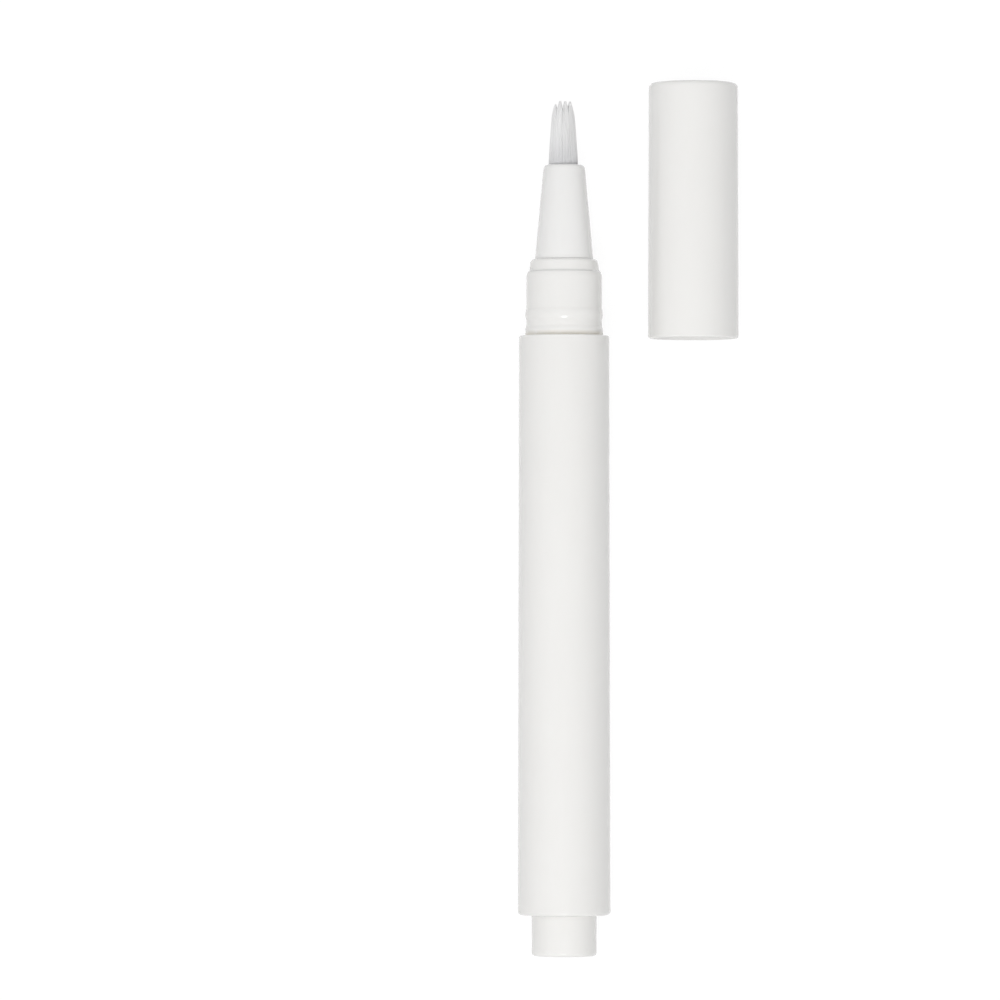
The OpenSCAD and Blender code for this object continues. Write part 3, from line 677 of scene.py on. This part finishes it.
def filament(number, chance):
    """The points of one filament, from root to tip, each with its thickness share."""
    share = (number + 0.5) / FILAMENTS
    turn = number * GOLDEN_TURN
    direction = Vector((math.cos(turn), math.sin(turn)))
    inner = TUBE_RADIUS + TUBE_GAP
    root = math.sqrt(inner ** 2 + (ROOT_RADIUS ** 2 - inner ** 2) * share) / ROOT_RADIUS
    tip = direction * math.sqrt(share)
    x, z, drop = min(TIP_POINTS, key=lambda p: (Vector(p[:2]) / TIP_WIDTH - tip).length)
    middle = Vector((x, z))
    away = (tip * TIP_WIDTH - middle).length
    length = BRUSH_LENGTH - drop - POINT_SLOPE * away ** 1.5 - chance.uniform(0, UNEVEN_LENGTH)
    points = []
    for height, width in BRUSH_WIDTHS:
        up = max(0, height)
        loose = (direction * root).lerp(tip, up) * width
        across = loose.lerp(middle, GATHER * up ** GATHER_POWER)
        across += Vector((chance.uniform(-WOBBLE, WOBBLE), chance.uniform(-WOBBLE, WOBBLE))) * up
        across.x -= OFF_CENTRE + LEAN * up
        thickness = 1 - TAPER * up ** TAPER_POWER
        points.append((across.x, NOZZLE_TOP + length * height, across.y, thickness))
    return points


print("the brush ends", NOZZLE_TOP + BRUSH_LENGTH, "mm from the rim")

# %% [markdown]
# ## Growing the brush
# Each filament is one spline of a curve object. The curve's bevel gives all of them
# their thickness, each point's own radius thins them towards the tip, and the lot
# becomes one mesh of closed four-sided rods, a few dozen faces each. The random numbers
# have a fixed seed, so the brush grows the same way every time.

# %% Growing the brush
FILAMENT_RADIUS = 0.062
SEED = 11
hairs = bpy.data.curves.new("hairs", "CURVE")
hairs.dimensions = "3D"
hairs.bevel_depth = FILAMENT_RADIUS
hairs.bevel_resolution = 0
hairs.use_fill_caps = True
chance = random.Random(SEED)
for number in range(FILAMENTS):
    spline = hairs.splines.new("POLY")
    points = filament(number, chance)
    spline.points.add(len(points) - 1)
    for point, (x, y, z, thickness) in zip(spline.points, points):
        point.co = (x, y, z, 1)
        point.radius = thickness
hair_object = bpy.data.objects.new("hairs", hairs)
bpy.context.collection.objects.link(hair_object)
bpy.context.view_layer.update()
grown = bpy.data.meshes.new_from_object(hair_object)
brush = bmesh.new()
brush.from_mesh(grown)
bpy.data.objects.remove(hair_object)
bpy.data.meshes.remove(grown)
print(FILAMENTS, "filaments of", len(brush.faces) // FILAMENTS, "faces")

# %% [markdown]
# ## Nylon
# Each filament is clear, so the brush looks paler towards its tips, where there are few of them, and
# greyer near the nozzle. Here the base colour paints that: it darkens towards the nozzle as painted
# shade and pales towards the tips as painted light, following the height along the pen. Each
# filament also differs a little, which Random Per Island gives for free.

# %% The brush's material
# the base colour darkens towards the nozzle as painted shade and pales at the tips as painted light
SHADED_ROOT_TONE = (0.79, 0.79, 0.8, 1)
LIT_TIP_TONE = (0.89, 0.89, 0.89, 1)
SHADE_FADE_LENGTH = 5
NYLON_IOR = 1.53
STREAK_SCALE = 2500
STREAK_DETAIL = 2
TONE_RANGE = (0.96, 1.03)
GLOSS_RANGE = (0.25, 0.45)
nylon, tree = new_material("nylon filament")
place = own_place(tree)
along = add_node(tree, "ShaderNodeSeparateXYZ", {0: place}).outputs["Y"]
# a mask that fades the painted shade at the root into the painted light at the tips
shade_to_light = stretched(tree, along, NOZZLE_TOP * MM, (NOZZLE_TOP + SHADE_FADE_LENGTH) * MM, 0, 1, "SMOOTHSTEP")
each = add_node(tree, "ShaderNodeNewGeometry").outputs["Random Per Island"]
differ = stretched(tree, each, 0, 1, *TONE_RANGE)
streaks = noise(tree, place, STREAK_SCALE, STREAK_DETAIL)
surface = add_node(tree, "ShaderNodeBsdfPrincipled", {
    "Base Color": scaled(tree, blended(tree, shade_to_light, SHADED_ROOT_TONE, LIT_TIP_TONE), differ),
    "Roughness": stretched(tree, streaks, 0, 1, *GLOSS_RANGE),
    "IOR": NYLON_IOR,
})
add_node(tree, "ShaderNodeOutputMaterial", {"Surface": surface.outputs[0]})
finish_piece(brush, "nylon_brush", "barrel", "brush_tuft", nylon)

# %% [markdown]
# ## The button
# The button is a cup that stands out of the tail. Two flanges guide it inside the
# barrel, and its end has the soft edge that a thumb meets, with a small dimple where
# the plastic was let into the mould. All of that is round, so it is turned first.

# %% The button's cup
BUTTON = 4.68
BUTTON_END = -89.3
BUTTON_FLANGE = 5.03
REAR_FLANGE = (-81.7, -80.7)
FRONT_FLANGE = (-64.55, -63.55)
BUTTON_BORE = 3.62
END_WALL = 1.2
DIMPLE = 0.12
button = turned([
    (0, BUTTON_END + DIMPLE), (0.55, BUTTON_END + DIMPLE, 0.05), (0.7, BUTTON_END, 0.05),
    (BUTTON, BUTTON_END, 0.5),
    (BUTTON, REAR_FLANGE[0]), (BUTTON_FLANGE, REAR_FLANGE[0]),
    (BUTTON_FLANGE, REAR_FLANGE[1]), (BUTTON, REAR_FLANGE[1]),
    (BUTTON, FRONT_FLANGE[0]), (BUTTON_FLANGE, FRONT_FLANGE[0]),
    (BUTTON_FLANGE, FRONT_FLANGE[1]), (BUTTON_BORE, FRONT_FLANGE[1]),
    (BUTTON_BORE, BUTTON_END + END_WALL, 0.3), (0, BUTTON_END + END_WALL),
])
print("the button stands out by", round(TAIL - BUTTON_END, 2), "mm")

# %% [markdown]
# ## The button's slots and notch
# Two slanted slots in the cup's wall hold the rotor's lugs, so that a push of the
# button's full travel turns the rotor by one click. Each slot's cutter is the hull of a
# disc at the slot's start and one at its end, each disc as two circles, inside and
# outside the wall. A notch in the rear flange runs on the barrel's rib. One cut makes
# all three.

# %% The button's slots and notch
SLOT_WIDTH = 1.34
SLOT_FRONT = -65.75
SLOT_REACH = (3.3, 5.4)
SLOT_SIDES = 32
NOTCH_SIZE = (1.4, 1.2, 0.8)
NOTCH_PLACE = (0, -81.2, -4.98)
PRESS = 3
CLICK = math.radians(30)
facing_out = Matrix.Rotation(math.pi / 2, 4, "Y")
cutter = bmesh.new()
for side in (0, math.pi):
    rims = []
    for share in (0, 1):
        turn = Matrix.Rotation(side + CLICK * share, 4, "Y")
        for radius in SLOT_REACH:
            place = Matrix.Translation((radius, SLOT_FRONT - PRESS * share, 0))
            rims += bmesh.ops.create_circle(
                cutter, segments=SLOT_SIDES, radius=SLOT_WIDTH / 2, matrix=turn @ place @ facing_out,
            )["verts"]
    hull = bmesh.ops.convex_hull(cutter, input=rims)
    inside = [v for v in hull["geom_interior"] if isinstance(v, bmesh.types.BMVert)]
    bmesh.ops.delete(cutter, geom=inside, context="VERTS")
notch = bmesh.ops.create_cube(cutter, size=1)["verts"]
bmesh.ops.scale(cutter, verts=notch, vec=NOTCH_SIZE)
bmesh.ops.translate(cutter, verts=notch, vec=NOTCH_PLACE)
bmesh.ops.recalc_face_normals(cutter, faces=cutter.faces)
button = combined(button, cutter, "DIFFERENCE")
finish_piece(button, "push_button", "button", "button", lit_button_white)

# %% [markdown]
# ## The cap
# The cap is a plain closed tube, a little wider at its mouth than at its end, and its
# heights are counted from its mouth. A chamfer inside the mouth leads it over the
# collar's bead. Its end has the dimple of its mould gate too.

# %% The cap
CAP_PLACE = Vector((18.6, -0.4, -0.15))
CAP_LENGTH = 36.8
CAP_BORE = 5.62
CAP_MOUTH = 6.525
CAP_END = 6.425
CAP_ROOF = 1.1
LINER_FOOT = 14.2
LINER_SEAT = 5.3
bm = turned([
    (CAP_BORE, 0.5), (CAP_BORE + 0.45, 0, 0.05), (CAP_MOUTH, 0, 0.3), (CAP_END, CAP_LENGTH, 0.8),
    (0.8, CAP_LENGTH, 0.05), (0.65, CAP_LENGTH - DIMPLE, 0.05), (0, CAP_LENGTH - DIMPLE),
    (0, CAP_LENGTH - CAP_ROOF), (LINER_SEAT, CAP_LENGTH - CAP_ROOF),
    (LINER_SEAT, LINER_FOOT), (CAP_BORE, LINER_FOOT),
])
finish_piece(bm, "cap_tube", "cap", "cap_shell", shell_white, CAP_PLACE)

# %% [markdown]
# ## The cap's liner
# A separate, softer cup fills the end of the cap. Its thin inner lip seals on the
# nozzle's cone and keeps the oil from drying. It is turned too, and shares the cap's
# place and its heights.

# %% The cap's liner
SEAL_LIP = 4.08
LINER_BORE = 4.48
LINER = 5.28
LINER_ROOF = (35.1, 35.7)
bm = turned([
    (SEAL_LIP, 14.6, 0.1), (LINER_BORE, LINER_FOOT, 0.1), (LINER, LINER_FOOT),
    (LINER, LINER_ROOF[1]), (0, LINER_ROOF[1]), (0, LINER_ROOF[0]), (LINER_BORE, LINER_ROOF[0], 0.3),
    (LINER_BORE, 16.0, 0.2), (SEAL_LIP, 15.6, 0.2),
])
finish_piece(bm, "cap_seal", "cap", "cap_liner", liner_white, CAP_PLACE)

# %% [markdown]
# ## Spring steel
# The wire is drawn through a die, which leaves fine lengthwise marks that break up its
# shine. One fine noise drives both the tint and the roughness of a plain metal.

# %% The spring's material
STEEL_DARK = (0.5, 0.51, 0.53, 1)
STEEL_LIGHT = (0.66, 0.66, 0.67, 1)
MARK_SCALE = 4000
MARK_DETAIL = 2
steel, tree = new_material("spring steel")
drawn = noise(tree, own_place(tree), MARK_SCALE, MARK_DETAIL)
surface = add_node(tree, "ShaderNodeBsdfPrincipled", {
    "Base Color": blended(tree, drawn, STEEL_DARK, STEEL_LIGHT),
    "Roughness": stretched(tree, drawn, 0, 1, 0.2, 0.4),
    "Metallic": 1,
})
add_node(tree, "ShaderNodeOutputMaterial", {"Surface": surface.outputs[0]})
print(steel.name, "has", len(tree.nodes), "nodes")

# %% [markdown]
# ## The return spring
# The spring is wound from round steel wire: close turns at its ends, so that it stands straight, and
# open turns between. A wire's section spun about the axis while it climbs gives exactly that, in
# three spins of different pitch.

# %% The spring
SPRING_RADIUS = 4.61
WIRE_RADIUS = 0.3
WIRE_SIDES = 12
SPRING_FROM = -63.2
STEPS_PER_TURN = 40
CLOSE_PITCH = 1.08
OPEN_PITCH = 1.985
WINDINGS = ((1, CLOSE_PITCH), (4, OPEN_PITCH), (1, CLOSE_PITCH))
bm = bmesh.new()
start = Matrix.Translation((SPRING_RADIUS, SPRING_FROM, 0))
bmesh.ops.create_circle(bm, segments=WIRE_SIDES, radius=WIRE_RADIUS, matrix=start)
section = bm.verts[:] + bm.edges[:]
first_ring = bm.edges[:]
for turns, pitch in WINDINGS:
    section = bmesh.ops.spin(
        bm, geom=section, cent=(0, 0, 0), axis=(0, 1, 0), dvec=(0, pitch / STEPS_PER_TURN, 0),
        angle=turns * math.tau, steps=turns * STEPS_PER_TURN,
    )["geom_last"]
last_ring = [e for e in section if isinstance(e, bmesh.types.BMEdge)]
for ring in (first_ring, last_ring):
    bmesh.ops.contextual_create(bm, geom=ring)
bmesh.ops.recalc_face_normals(bm, faces=bm.faces)
spring = finish_piece(bm, "coil_spring", "barrel", "return_spring", steel)
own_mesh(spring)

# %% [markdown]
# ## The works inside
# The screw, nut, ratchet, piston and the other inner pieces keep their CAD shapes,
# which are already exact, and get a finish of their own in place of the plain one.

# %% Finishes for the inner pieces
INNER_FINISH = {
    "brush_ferrule": works_white,
    "feed_tube": tube_clear,
    "drive_nut": works_white,
    "spring_seat": works_white,
    "check_pawls": works_grey,
    "piston": works_white,
    "piston_seal": seal_black,
    "feed_screw": works_white,
    "drive_sleeve": works_grey,
    "cam_rotor": works_white,
    "drive_pawls": works_grey,
}
for node, material in INNER_FINISH.items():
    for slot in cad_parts[node].material_slots:
        slot.material = material
print(len(INNER_FINISH), "inner pieces finished")

# %% [markdown]
# ## Up to date
# The view layer is brought up to date, so that every piece stands in its final place.

# %% Bringing the view layer up to date
bpy.context.view_layer.update()
